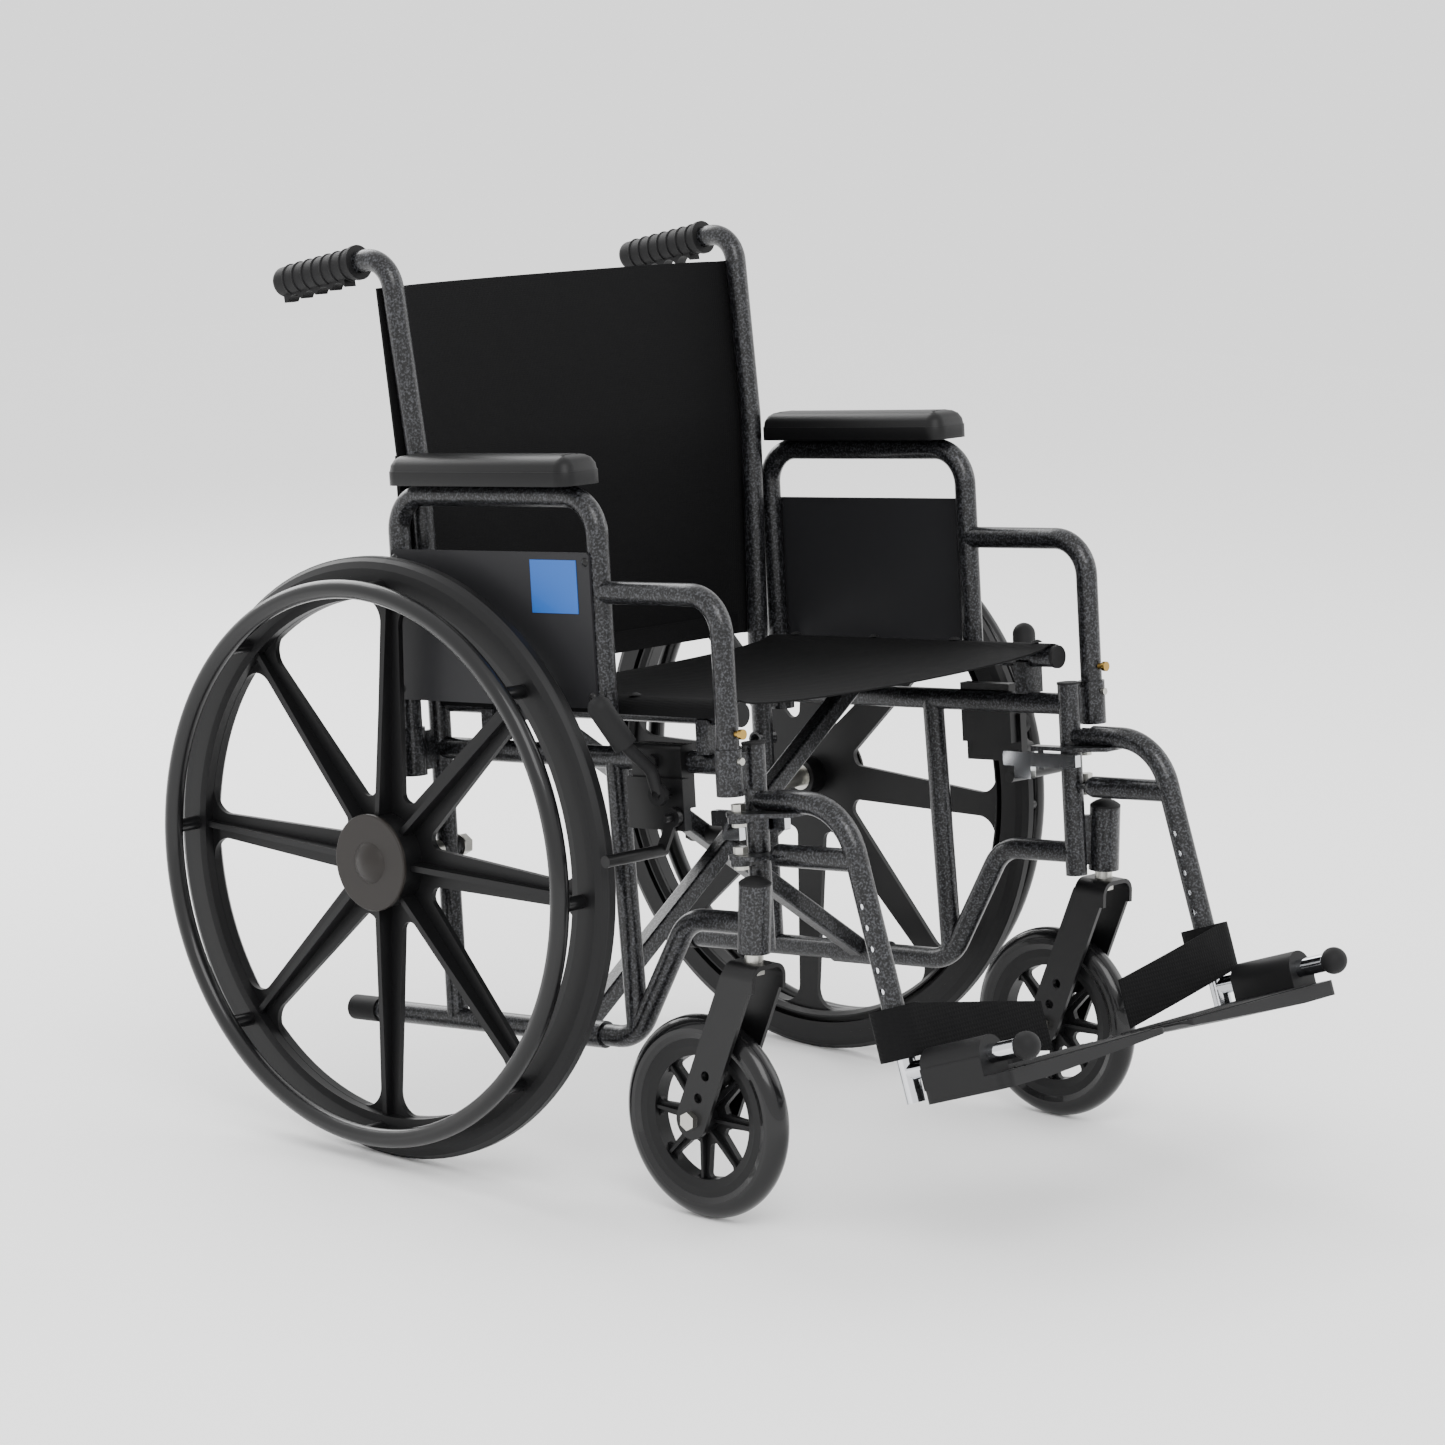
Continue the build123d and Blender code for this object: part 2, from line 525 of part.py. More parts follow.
def caster_hardware():
    """Stem bolt, its two bearings, spacer and nut; axle bolt, nut and hub spacers."""
    under = FORK_TOP_Z - FORK_PLATE
    low, high = HEAD_Z
    seat = HEAD_R - HEAD_WALL - RUN_GAP
    stem = rod((0, 0, under), (0, 0, high - 2), STEM_BOLT_R)
    stem += hexagon((0, 0, under - 7.5), (0, 0, under), 18.0)
    spacer = ring((0, 0, FORK_TOP_Z), (0, 0, low + 0.5), 9.0, STEM_BOLT_R)
    lower = ring((0, 0, low + 0.5), (0, 0, low + 8.5), seat, STEM_BOLT_R)
    upper = ring((0, 0, high - 20), (0, 0, high - 12), seat, STEM_BOLT_R)
    nut = hexagon((0, 0, high - 12), (0, 0, high - 3), 18.0) - rod(
        (0, 0, high - 13), (0, 0, high), STEM_BOLT_R
    )
    y, z, leg = CASTER_TRAIL, CASTER_R, FORK_INNER + FORK_PLATE
    axle = rod((-leg - 8, y, z), (leg, y, z), CASTER_AXLE_R)
    axle += hexagon((leg, y, z), (leg + 6.5, y, z), 16.0)
    axle_nut = hexagon((-leg - 8, y, z), (-leg, y, z), 16.0) - rod(
        (-leg - 9, y, z), (-leg + 1, y, z), CASTER_AXLE_R
    )
    spacers = [
        ring((s * (CASTER_HUB_HALF + REST_GAP), y, z), (s * FORK_INNER, y, z), 8.0, CASTER_AXLE_R)
        for s in (-1, 1)
    ]
    solids = [stem, spacer, lower, upper, nut, axle, axle_nut, *spacers]
    return Pos(CASTER_X, CASTER_HEAD_Y, 0) * Compound(solids)


def caster_wheel():
    """Composite caster wheel: hub, eight spokes and the rim under the tyre."""
    rim = spun([(61, -9), (61, 9), (70, 11.5), (CASTER_RIM_R, 11.5), (CASTER_RIM_R, -11.5), (70, -11.5)])
    web = spoked_web(27.0, 61.5, 6.5, 4.5, 6.0, 4.0, 7.0)
    rib = extrude(
        make_face(Polyline((-10, -1.6, 14), (10, -1.6, 14), (7, -1.6, 64), (-7, -1.6, 64), close=True)),
        amount=3.2,
        dir=(0, 1, 0),
    )
    wheel = rim + web
    wheel += [Rot(360 / SPOKES * k, 0, 0) * rib for k in range(SPOKES)]
    wheel += rod((-CASTER_HUB_HALF, 0, 0), (CASTER_HUB_HALF, 0, 0), 16.0)
    wheel -= rod((-CASTER_HUB_HALF, 0, 0), (CASTER_HUB_HALF, 0, 0), CASTER_AXLE_R + RUN_GAP)
    return Pos(CASTER_X, CASTER_AXLE_Y, CASTER_R) * wheel


def caster_tyre():
    """Smooth solid tyre of the caster."""
    r, h = CASTER_R, CASTER_HALF
    inner = CASTER_RIM_R
    crown = make_face(
        [
            Line((-11.5, 0, inner), (11.5, 0, inner)),
            Line((11.5, 0, inner), (h, 0, inner + 6)),
            Line((h, 0, inner + 6), (h, 0, r - 12)),
            ThreePointArc((h, 0, r - 12), (0, 0, r), (-h, 0, r - 12)),
            Line((-h, 0, r - 12), (-h, 0, inner + 6)),
            Line((-h, 0, inner + 6), (-11.5, 0, inner)),
        ]
    )
    return Pos(CASTER_X, CASTER_AXLE_Y, CASTER_R) * revolve(crown, axis=Axis.X)


# ---- armrest ----

def arm_frame():
    """Removable arm: a hoop over the panel and a nose that drops into the front socket."""
    hoop = [
        (ARM_X, ARM_REAR_Y, REAR_SOCKET_Z[0] + 4),
        (ARM_X, ARM_REAR_Y, ARM_TOP_Z),
        (ARM_X, ARM_FRONT_Y, ARM_TOP_Z),
        (ARM_X, ARM_FRONT_Y, ARM_FRONT_LOW_Z),
    ]
    nose = [
        (ARM_X, ARM_FRONT_Y, ARM_NOSE_Z),
        (ARM_X, ARM_NOSE_Y, ARM_NOSE_Z),
        (ARM_X, ARM_NOSE_Y, FRONT_SOCKET_Z[0] + 4),
    ]
    arm = hollow([(hoop, (ARM_BEND_R, ARM_BEND_R)), (nose, (ARM_BEND_R,))], TUBE_R, BORE_R)
    y = ARM_NOSE_Y
    arm -= rod((ARM_X, y, BUTTON_Z), (ARM_X, y - TUBE_R - 2, BUTTON_Z), 3.0 + SLIDE_GAP)
    return PITCHED * arm


def arm_button():
    """Spring button that locks the arm in its socket: steel shank, brass head."""
    face = ARM_NOSE_Y - TUBE_R
    button = rod((ARM_X, face + 4, BUTTON_Z), (ARM_X, face - 6.5, BUTTON_Z), 3.0)
    button += rod((ARM_X, face - 5.5, BUTTON_Z), (ARM_X, face - 9.5, BUTTON_Z), 5.0)
    return PITCHED * button


def pad_limits():
    low = ARM_TOP_Z + TUBE_R
    return (
        (ARM_X - PAD_WIDTH / 2, ARM_X + PAD_WIDTH / 2),
        (PAD_FRONT_Y, PAD_FRONT_Y + PAD_LENGTH),
        (low, low + PAD_HEIGHT),
    )


def arm_pad():
    """Moulded pad: upright band below, crowned above."""
    pad = block(*pad_limits())
    pad = fillet(pad.edges().filter_by(Axis.Z), 16.0)
    return PITCHED * fillet(pad.faces().sort_by(Axis.Z)[-1].edges(), 12.0)


def side_panel():
    """Moulded clothes guard between the arm's posts, on their outboard side."""
    near = ARM_X + TUBE_R
    panel = block((near, near + PANEL_THICK), (ARM_REAR_Y, ARM_FRONT_Y), PANEL_Z)
    panel = fillet(panel.edges().filter_by(Axis.X), 5.0)
    for y, z in panel_screw_places():
        panel += rod((near - 1.2, y, z), (near + 1, y, z), 3.5)
        panel -= rod((near - 3, y, z), (near + PANEL_THICK, y, z), 2.0)
    posts = [ARM_REAR_Y, ARM_FRONT_Y]
    for y in posts:
        panel -= rod((ARM_X, y, PANEL_Z[0] - 5), (ARM_X, y, PANEL_Z[1] + 5), TUBE_R)
    return PITCHED * panel


def panel_screw_places():
    """Screw centres, a little inside each post's middle line."""
    rows = (PANEL_Z[0] + 11, PANEL_Z[1] - 9)
    return [(y, z) for y in (ARM_REAR_Y - 5, ARM_FRONT_Y + 5) for z in rows]


def arm_screws():
    """Four pan-head screws that hold the panel to the posts."""
    face = ARM_X + TUBE_R + PANEL_THICK
    screws = []
    for y, z in panel_screw_places():
        head = dome((face, y, z), (1, 0, 0), 4.4, 2.4)
        screws.append(solid_of(head + rod((face - PANEL_THICK, y, z), (face, y, z), 2.0)))
    return PITCHED * Compound(screws)


# ---- front rigging ----

def at(x, down, ahead):
    """A point in the hanger's own axes: down the slanting tube and ahead along the bar."""
    place = LINE + DOWN * down + AHEAD * ahead
    return (x, place.Y, place.Z)


def hanger():
    """Swing-away hanger: top tube and slanting tube in one bend, lower tube, hinge plates."""
    corner_y = HANGER_LINE_Y + (HANGER_TOP_Z - HANGER_LINE_Z) * tan(LEAN)
    join_y = HANGER_LINE_Y - (LOWER_HINGE_Z + 1.8 - HANGER_LINE_Z) * -tan(LEAN)
    end = at(HANGER_X, HANGER_END_DOWN, 0)
    x = HANGER_X
    start_y = UPRIGHT_Y - TUBE_R - 1.5
    main = [(x, UPRIGHT_Y, HANGER_TOP_Z), (x, corner_y, HANGER_TOP_Z), end]
    core = [(x, start_y - 18, HANGER_TOP_Z), (x, corner_y, HANGER_TOP_Z), end]
    lower_z = LOWER_HINGE_Z + 1.8
    body = bent(main, TUBE_R, (HANGER_BEND_R,))
    body += rod((x, start_y - 16, lower_z), (x, join_y, lower_z), TUBE_R)
    body += Pos(x, start_y - 16, lower_z) * Sphere(TUBE_R)
    # the top tube's end is coped round the upright, and pared where it swings under the socket
    body -= rod((RAIL_X, UPRIGHT_Y, 0), (RAIL_X, UPRIGHT_Y, 140), TUBE_R + 1.5)
    body -= block((x - 30, x + 30), (UPRIGHT_Y - 30, UPRIGHT_Y + 30), (FRONT_SOCKET_Z[0] - 1, 120))
    top = (UPPER_HINGE_Z, UPPER_HINGE_Z + HINGE_PLATE)
    upper = block((218, HINGE_X), (-482, -438.5), top) + rod(
        (HINGE_X, HINGE_Y, top[0]), (HINGE_X, HINGE_Y, top[1]), 12.0
    )
    upper += block((RAIL_X + TUBE_R + 3, HINGE_X + 12), (-482, HINGE_Y), top)
    upper += block((218, RAIL_X - TUBE_R - 2), (-482, -392), top)
    upper &= extrude(
        make_face(
            Polyline(
                (218, -392, top[0]), (231, -392, top[0]), (238, -436, top[0]), (256, -436, top[0]),
                (256, -410, top[0]), (281, -410, top[0]), (281, -440, top[0]), (258, -482, top[0]),
                (230, -482, top[0]), (218, -450, top[0]), close=True,
            )
        ),
        amount=HINGE_PLATE,
    )
    tab_z = (LOWER_HINGE_Z, LOWER_HINGE_Z + HINGE_PLATE)
    tab = block((x - 9, HINGE_X - 2), (start_y - 20, start_y - 1), tab_z)
    tab += block((RAIL_X + TUBE_R + 3, HINGE_X + 10), (start_y - 12, HINGE_Y), tab_z)
    tab += rod((HINGE_X, HINGE_Y, tab_z[0]), (HINGE_X, HINGE_Y, tab_z[1]), 12.0)
    body += upper
    body += tab
    body -= bent(core, BORE_R, (HANGER_BEND_R,))
    for z in (top[0], tab_z[0]):
        body -= rod((HINGE_X, HINGE_Y, z - 1), (HINGE_X, HINGE_Y, z + HINGE_PLATE + 1), HINGE_PIN_R + RUN_GAP)
    for k in range(HOLE_COUNT):
        down = HOLE_FIRST_DOWN + HOLE_PITCH * k
        body -= rod(at(x - 20, down, 0), at(x + 20, down, 0), 3.2)
    body += rod((LATCH_X, LATCH_Y, top[0] - 21), (LATCH_X, LATCH_Y, top[0] + 1), 3.0)
    return PITCHED * body


def hanger_latch():
    """Plated release lever under the hanger's upper plate, with a finger tab."""
    z = (UPPER_HINGE_Z - 18, UPPER_HINGE_Z - 3)
    bar = block((LATCH_X - 4.2, LATCH_X + 4.2), (-447, -352), z)
    bar = fillet(bar.edges().filter_by(Axis.X), 2.0)
    bar += block((LATCH_X - 4.2, LATCH_X + 4.2), (-388, -366), (z[0] - 13, z[0] + 1))
    bar -= rod((LATCH_X, LATCH_Y, z[0] - 1), (LATCH_X, LATCH_Y, z[1] + 1), 3.0 + RUN_GAP)
    return PITCHED * bar


def hinge_pins():
    """Two hinge pins for the hanger and the set screw of the front arm socket."""
    solids = []
    for under in (UPPER_HINGE_Z, LOWER_HINGE_Z):
        a = (HINGE_X, HINGE_Y, under - REST_GAP - 10)
        b = (HINGE_X, HINGE_Y, under + HINGE_PLATE + 0.6)
        pin = rod(a, b, HINGE_PIN_R)
        pin += hexagon(b, (HINGE_X, HINGE_Y, b[2] + 7), 12.5)
        pin += hexagon((HINGE_X, HINGE_Y, a[2]), (HINGE_X, HINGE_Y, a[2] + 4), 12.5)
        solids.append(pin)
    z = (FRONT_SOCKET_Z[1] - 11)
    face = ARM_NOSE_Y - SOCKET_R
    screw = rod((ARM_X, face, z), (ARM_X, face - 4, z), 3.6)
    solids.append(screw)
    return PITCHED * Compound(solids)


def footrest_stem():
    """Plated tube that slides in the hanger, with the bar that carries the footplate."""
    tail = STEM_BAR_DOWN + STEM_TAIL
    stem = rod(at(HANGER_X, STEM_TOP_DOWN, 0), at(HANGER_X, tail, 0), STEM_R)
    stem -= rod(at(HANGER_X, STEM_TOP_DOWN, 0), at(HANGER_X, tail, 0), STEM_R - 1.5)
    bar = rod(at(HANGER_X, STEM_BAR_DOWN, 0), at(HANGER_X, STEM_BAR_DOWN, BAR_LENGTH), BAR_R)
    ball = Pos(*at(HANGER_X, STEM_BAR_DOWN, BAR_LENGTH + 6)) * Sphere(BALL_R)
    return PITCHED * (stem + bar + ball)


def footplate():
    """Moulded footplate with its hinge block, turned up about the bar to fold."""
    y0, z0 = BAR_FOOT.Y, BAR_FOOT.Z
    # local axes: X across the chair, Y ahead along the bar, Z up and square to the plate
    place = Plane(origin=(0, y0, z0), x_dir=(1, 0, 0), z_dir=DOWN * -1)
    ahead = -1.0
    profile = make_face(
        Polyline(
            (PLATE_OUT_X, 0, -PLATE_TOP), (PLATE_IN_X, 0, -PLATE_TOP),
            (PLATE_IN_X, 0, -PLATE_TOP - 2), (PLATE_IN_X + 10, 0, -PLATE_TOP - PLATE_THICK_IN),
            (PLATE_OUT_X - 60, 0, -PLATE_TOP - PLATE_THICK_OUT),
            (PLATE_OUT_X, 0, -PLATE_TOP - PLATE_THICK_OUT), close=True,
        )
    )
    slab = extrude(profile, amount=PLATE_U[1] - PLATE_U[0], dir=(0, ahead, 0))
    slab = Pos(0, ahead * PLATE_U[0], 0) * slab
    slab = fillet(slab.edges().filter_by(Axis.Z), 12.0)
    x = HANGER_X
    hub = block(
        (x - BLOCK_TOP, PLATE_OUT_X), (ahead * BLOCK_U[0], ahead * BLOCK_U[1]), (-PLATE_TOP - 2, 0)
    )
    hub += rod((x, ahead * BLOCK_U[0], 0), (x, ahead * BLOCK_U[1], 0), BLOCK_TOP)
    plate = slab + hub
    plate -= rod((x, 0, 0), (x, ahead * 160, 0), BAR_R + RUN_GAP)
    return PITCHED * (place * plate)


def heel_loop():
    """Webbing heel loop: round the hanger tube, then across to the plate's inner corner."""
    top, low = STRAP_TOP_DOWN, STRAP_TOP_DOWN + STRAP_WIDTH
    loop = ring(at(HANGER_X, top, 0), at(HANGER_X, low, 0), STRAP_LOOP_R, STRAP_LOOP_R - STRAP_THICK)
    near, far = STRAP_LOOP_R - STRAP_THICK, STRAP_LOOP_R
    inner_x = 62.0
    inner_drop = STEM_BAR_DOWN + PLATE_TOP - REST_GAP - low
    outline = make_face(
        Polyline(
            at(HANGER_X, top, near), at(HANGER_X, low, near),
            at(inner_x, low + inner_drop, near), at(inner_x, top + inner_drop, near), close=True,
        )
    )
    band = extrude(outline, amount=far - near, dir=AHEAD)
    return PITCHED * (loop + band)


# ---- wheel brake ----

def brake_clamp():
    """Clamp on the upper rail with the plate that carries lever and shoe."""
    y = BRAKE_CLAMP_Y
    body = block((RAIL_X, RAIL_X + 18), y, (UPPER_Z - 44, UPPER_Z + 18))
    body = fillet(body.edges().filter_by(Axis.Y).group_by(Axis.X)[-1], 5.0)
    body += block((RAIL_X + 12, RAIL_X + 22), (y[0] - 4, y[1] + 4), (SHOE_PIVOT_Z - 14, UPPER_Z - 14))
    body -= rod((RAIL_X, y[0] - 1, UPPER_Z), (RAIL_X, y[1] + 1, UPPER_Z), TUBE_R)
    for py, pz in ((BRAKE_PIVOT_Y, BRAKE_PIVOT_Z), (SHOE_PIVOT_Y, SHOE_PIVOT_Z)):
        body += rod((RAIL_X + 12, py, pz), (RAIL_X + 40, py, pz), 4.0)
    mid = (y[0] + y[1]) / 2 + 4
    body += hexagon((RAIL_X + 18, mid, UPPER_Z + 1), (RAIL_X + 22, mid, UPPER_Z + 1), 13.0)
    return PITCHED * body


def brake_lever():
    """Push-to-lock lever: flat arm on its pivot, then a moulded grip set outboard."""
    y, z = BRAKE_PIVOT_Y, BRAKE_PIVOT_Z
    x = RAIL_X + 36
    arm = rod((x - 3, y, z), (x + 3, y, z), 11.0)
    points = [(x, y, z), (x + 3, y + 5, z + 24), (x + 28, y + 13, z + 50), (x + 46, y + 27, z + 88)]
    arm += bent(points, 6.5, (14.0, 30.0))
    a, b = Vector(*points[2]), Vector(*points[3])
    arm += rod(a, b, 12.0) + Pos(*b) * Sphere(12.0)
    return PITCHED * (arm - rod((x - 20, y, z), (x + 20, y, z), 4.0 + RUN_GAP))


def shoe_place():
    """Shoe bar with the brake off: clear of the tyre by the shoe gap."""
    reach = WHEEL_R + SHOE_R + SHOE_GAP
    return -sqrt(reach**2 - SHOE_Z**2), SHOE_Z


def brake_shoe():
    """Shoe bar across the tyre on its swinging arm."""
    y, z = shoe_place()
    x = RAIL_X + 26
    arm = rod((x - 3, SHOE_PIVOT_Y, SHOE_PIVOT_Z), (x + 3, SHOE_PIVOT_Y, SHOE_PIVOT_Z), 9.5)
    arm += rod((x - 3, y, z), (SHOE_END_X, y, z), SHOE_R)
    reach = Vector(0, y - SHOE_PIVOT_Y, z - SHOE_PIVOT_Z)
    link = Plane(
        origin=(x, SHOE_PIVOT_Y, SHOE_PIVOT_Z), x_dir=reach, z_dir=(1, 0, 0)
    ) * Box(reach.length, 11, 5, align=(Align.MIN, Align.CENTER, Align.CENTER))
    arm += link
    return PITCHED * (
        arm - rod((x - 9, SHOE_PIVOT_Y, SHOE_PIVOT_Z), (x + 9, SHOE_PIVOT_Y, SHOE_PIVOT_Z), 4.0 + RUN_GAP)
    )


# ---- folding brace ----

def cross_brace(y, pivot_gap):
    """Brace from the left lower rail up to the right seat rail, which it carries."""
    foot = Vector(RAIL_X, y, LOWER_Z)
    head = Vector(-SEAT_X, y, SEAT_Z)
    along = head - foot
    square = Plane(origin=foot, x_dir=(0, 1, 0), z_dir=along) * Box(
        BRACE_SIDE, BRACE_SIDE, along.length, align=(Align.CENTER, Align.CENTER, Align.MIN)
    )
    square = fillet(square.edges().filter_by(lambda e: e.length > 400), 3.0)
    inside = BRACE_SIDE - 2 * BRACE_WALL
    square -= Plane(origin=foot, x_dir=(0, 1, 0), z_dir=along) * Pos(0, 0, SLEEVE_R + 3) * Box(
        inside, inside, along.length - SLEEVE_R - TUBE_R - 6,
        align=(Align.CENTER, Align.CENTER, Align.MIN),
    )
    brace = square + rod((RAIL_X, y - SLEEVE_HALF, LOWER_Z), (RAIL_X, y + SLEEVE_HALF, LOWER_Z), SLEEVE_R)
    brace += rod((-SEAT_X, SEAT_REAR_Y, SEAT_Z), (-SEAT_X, SEAT_FRONT_Y, SEAT_Z), TUBE_R)
    brace -= rod((RAIL_X, y - 60, LOWER_Z), (RAIL_X, y + 60, LOWER_Z), TUBE_R + RUN_GAP)
    brace -= rod((-SEAT_X, SEAT_REAR_Y, SEAT_Z), (-SEAT_X, SEAT_FRONT_Y, SEAT_Z), BORE_R)
    for screw_y in SEAT_SCREW_YS:
        brace -= rod((-SEAT_X, screw_y, SEAT_Z), (-SEAT_X, screw_y, SEAT_Z + 20), SEAT_SCREW_R)
    brace -= rod((0, y - 20, BRACE_CENTRE_Z), (0, y + 20, BRACE_CENTRE_Z), PIVOT_BOLT_R + pivot_gap)
    return PITCHED * brace


def seat_rail_trim(side, with_bolt):
    """Plug and four screws of one seat rail, and the brace's pivot bolt with one of them."""
    x = side * SEAT_X
    cap = rod((x, SEAT_FRONT_Y - 4, SEAT_Z), (x, SEAT_FRONT_Y, SEAT_Z), TUBE_R + 0.8)
    cap += rod((x, SEAT_FRONT_Y, SEAT_Z), (x, SEAT_FRONT_Y + 14, SEAT_Z), BORE_R)
    solids = [cap]
    top = SEAT_Z + TUBE_R
    for y in SEAT_SCREW_YS:
        face = top + REST_GAP + SLING_THICK + 0.2
        screw = dome((x, y, face), (0, 0, 1), 6.0, 2.6)
        solids.append(screw + rod((x, y, top - TUBE_WALL), (x, y, face), SEAT_SCREW_R))
    if with_bolt:
        a, b = BRACE_RIGHT_Y - BRACE_SIDE / 2, BRACE_LEFT_Y + BRACE_SIDE / 2
        z = BRACE_CENTRE_Z
        bolt = rod((0, a, z), (0, b + 10, z), PIVOT_BOLT_R)
        bolt += hexagon((0, a - 6, z), (0, a, z), 16.0)
        bolt += hexagon((0, b + REST_GAP, z), (0, b + 8, z), 16.0)
        spacer = ring(
            (0, BRACE_RIGHT_Y + BRACE_SIDE / 2, z), (0, BRACE_LEFT_Y - BRACE_SIDE / 2 - REST_GAP, z), 9.0,
            PIVOT_BOLT_R,
        )
        solids += [bolt, spacer]
    return PITCHED * Compound(solids)


# ---- upholstery ----

def seat_sling():
    """Seat sling over both rails, sagging between them."""
    edge, low, thick = SEAT_X + 8, SEAT_Z + TUBE_R + REST_GAP, SLING_THICK
    bend = SEAT_X - 3
    outline = make_face(
        [
            ThreePointArc((-bend, 0, low), (0, 0, low - SEAT_SAG), (bend, 0, low)),
            Line((bend, 0, low), (edge, 0, low)),
            Line((edge, 0, low), (edge, 0, low + thick)),
            Line((edge, 0, low + thick), (bend, 0, low + thick)),
            ThreePointArc((bend, 0, low + thick), (0, 0, low - SEAT_SAG + thick), (-bend, 0, low + thick)),
            Line((-bend, 0, low + thick), (-edge, 0, low + thick)),
            Line((-edge, 0, low + thick), (-edge, 0, low)),
            Line((-edge, 0, low), (-bend, 0, low)),
        ]
    )
    depth = SEAT_REAR_Y - 4 - SEAT_FRONT_Y - 2
    sling = Pos(0, SEAT_REAR_Y - 4, 0) * extrude(outline, amount=depth, dir=(0, -1, 0))
    for side in (-1, 1):
        for y in SEAT_SCREW_YS:
            sling -= rod((side * SEAT_X, y, low - 5), (side * SEAT_X, y, low + 9), SEAT_SCREW_R)
    return PITCHED * sling


def back_sling():
    """Back sling behind both canes, from seat height to just under the handles."""
    near = TUBE_R + 0.7
    thick, low, high = 3.4, 166.0, 569.0
    lean = tan(radians(BACK_BEND)) * (high - BACK_BEND_Z)
    outline = make_face(
        Polyline(
            (0, near, low), (0, near, BACK_BEND_Z), (0, near + lean, high),
            (0, near + lean + thick, high), (0, near + thick, BACK_BEND_Z), (0, near + thick, low),
            close=True,
        )
    )
    return PITCHED * extrude(outline, amount=CANE_TOP_X + 9, dir=(1, 0, 0), both=True)


# ---- assembly ----

LEFT = {
    "side_frame": side_frame,
    "back_cane": back_cane,
    "push_grip": push_grip,
    "frame_caps": frame_caps,
    "rear_wheel": rear_wheel,
    "rear_tyre": rear_tyre,
    "handrim": handrim,
    "hub_cap": hub_cap,
    "rear_axle_set": rear_axle_set,
    "caster_fork": caster_fork,
    "caster_hardware": caster_hardware,
    "caster_wheel": caster_wheel,
    "caster_tyre": caster_tyre,
    "arm_frame": arm_frame,
    "arm_button": arm_button,
    "arm_pad": arm_pad,
    "side_panel": side_panel,
    "arm_screws": arm_screws,
    "hanger": hanger,
    "hanger_latch": hanger_latch,
    "hinge_pins": hinge_pins,
    "footrest_stem": footrest_stem,
    "footplate": footplate,
    "heel_loop": heel_loop,
    "brake_clamp": brake_clamp,
    "brake_lever": brake_lever,
    "brake_shoe": brake_shoe,
}

parts = {}
for name, make in LEFT.items():
    left = make()
    parts[name + "_left"] = left
    parts[name + "_right"] = mirror(left, about=Plane.YZ)

parts["cross_brace_left"] = cross_brace(BRACE_LEFT_Y, RUN_GAP)
parts["cross_brace_right"] = mirror(cross_brace(BRACE_RIGHT_Y, 0.0), about=Plane.YZ)
parts["seat_rail_trim_left"] = seat_rail_trim(1, True)
parts["seat_rail_trim_right"] = seat_rail_trim(-1, False)
parts["seat_sling"] = seat_sling()
parts["back_sling"] = back_sling()

# origin: on the floor, midway between the rear tyre's back and the footrest's front
front = parts["footrest_stem_left"].bounding_box().min.Y
centre_y = (front + WHEEL_R) / 2
home = Location((0, -centre_y, 0))

os.makedirs("parts", exist_ok=True)
for name, shape in parts.items():
    export_step(home * shape, f"parts/{name}.step")
print(len(parts), "nodes, rear axle at y", round(-centre_y, 2))
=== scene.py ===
# %% [markdown]
# # A folding manual wheelchair
# The metal and moulded pieces come from the solid model, already in place and riding on the
# bodies that move. This lesson gives them their finishes, then models what a solid model does
# badly: the slings, the webbing, the foam pads, the ribbed grips and the treads.

from math import cos, pi, radians, sin

import bmesh
import bpy
from mathutils import Matrix, Vector


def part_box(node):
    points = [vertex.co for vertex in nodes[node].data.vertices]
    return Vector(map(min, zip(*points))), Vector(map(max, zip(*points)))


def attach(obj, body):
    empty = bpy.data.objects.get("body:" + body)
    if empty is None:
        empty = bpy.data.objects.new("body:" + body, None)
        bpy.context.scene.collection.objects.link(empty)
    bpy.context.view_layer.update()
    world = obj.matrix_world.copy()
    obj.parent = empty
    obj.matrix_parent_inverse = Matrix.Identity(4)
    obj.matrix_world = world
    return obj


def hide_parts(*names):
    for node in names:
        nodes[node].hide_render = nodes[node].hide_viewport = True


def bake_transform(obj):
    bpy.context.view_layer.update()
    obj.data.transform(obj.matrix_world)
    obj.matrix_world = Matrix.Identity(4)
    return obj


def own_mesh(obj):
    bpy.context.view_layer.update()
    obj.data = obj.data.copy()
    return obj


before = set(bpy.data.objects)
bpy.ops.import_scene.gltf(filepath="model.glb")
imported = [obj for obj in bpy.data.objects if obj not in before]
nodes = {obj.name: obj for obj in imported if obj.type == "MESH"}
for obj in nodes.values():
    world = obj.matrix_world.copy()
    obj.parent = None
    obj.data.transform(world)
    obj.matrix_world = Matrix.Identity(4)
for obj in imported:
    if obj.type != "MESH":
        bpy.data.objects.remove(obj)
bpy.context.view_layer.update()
bpy.ops.object.select_all(action="DESELECT")
print(len(nodes), "pieces loaded")

# %% [markdown]
# The side frames are pitched five degrees nose up about the rear axle, so most positions are
# easiest to give as height square to the rails and distance along them. `at` turns such a
# pair into a point of the scene.

# %%
low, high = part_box("rear_tyre_left")
AXLE = Vector((0.0, (low[1] + high[1]) / 2, (low[2] + high[2]) / 2))
PITCH = radians(5.0)
SIDES = {"right": -1, "left": 1}


TUBE_R = 11.1  # every frame tube, mm


def at(x, y, z):
    """A point from millimetres across, along and square to the rails."""
    return AXLE + Vector((x, y * cos(PITCH) + z * sin(PITCH), z * cos(PITCH) - y * sin(PITCH))) / 1000


print("rear axle at", [round(v, 4) for v in AXLE])

# %% [markdown]
# ## Finishes
# Every finish is a node tree built from the same three helpers: a colour from its usual hex
# code, a node adder, and a principled surface with an optional bump.

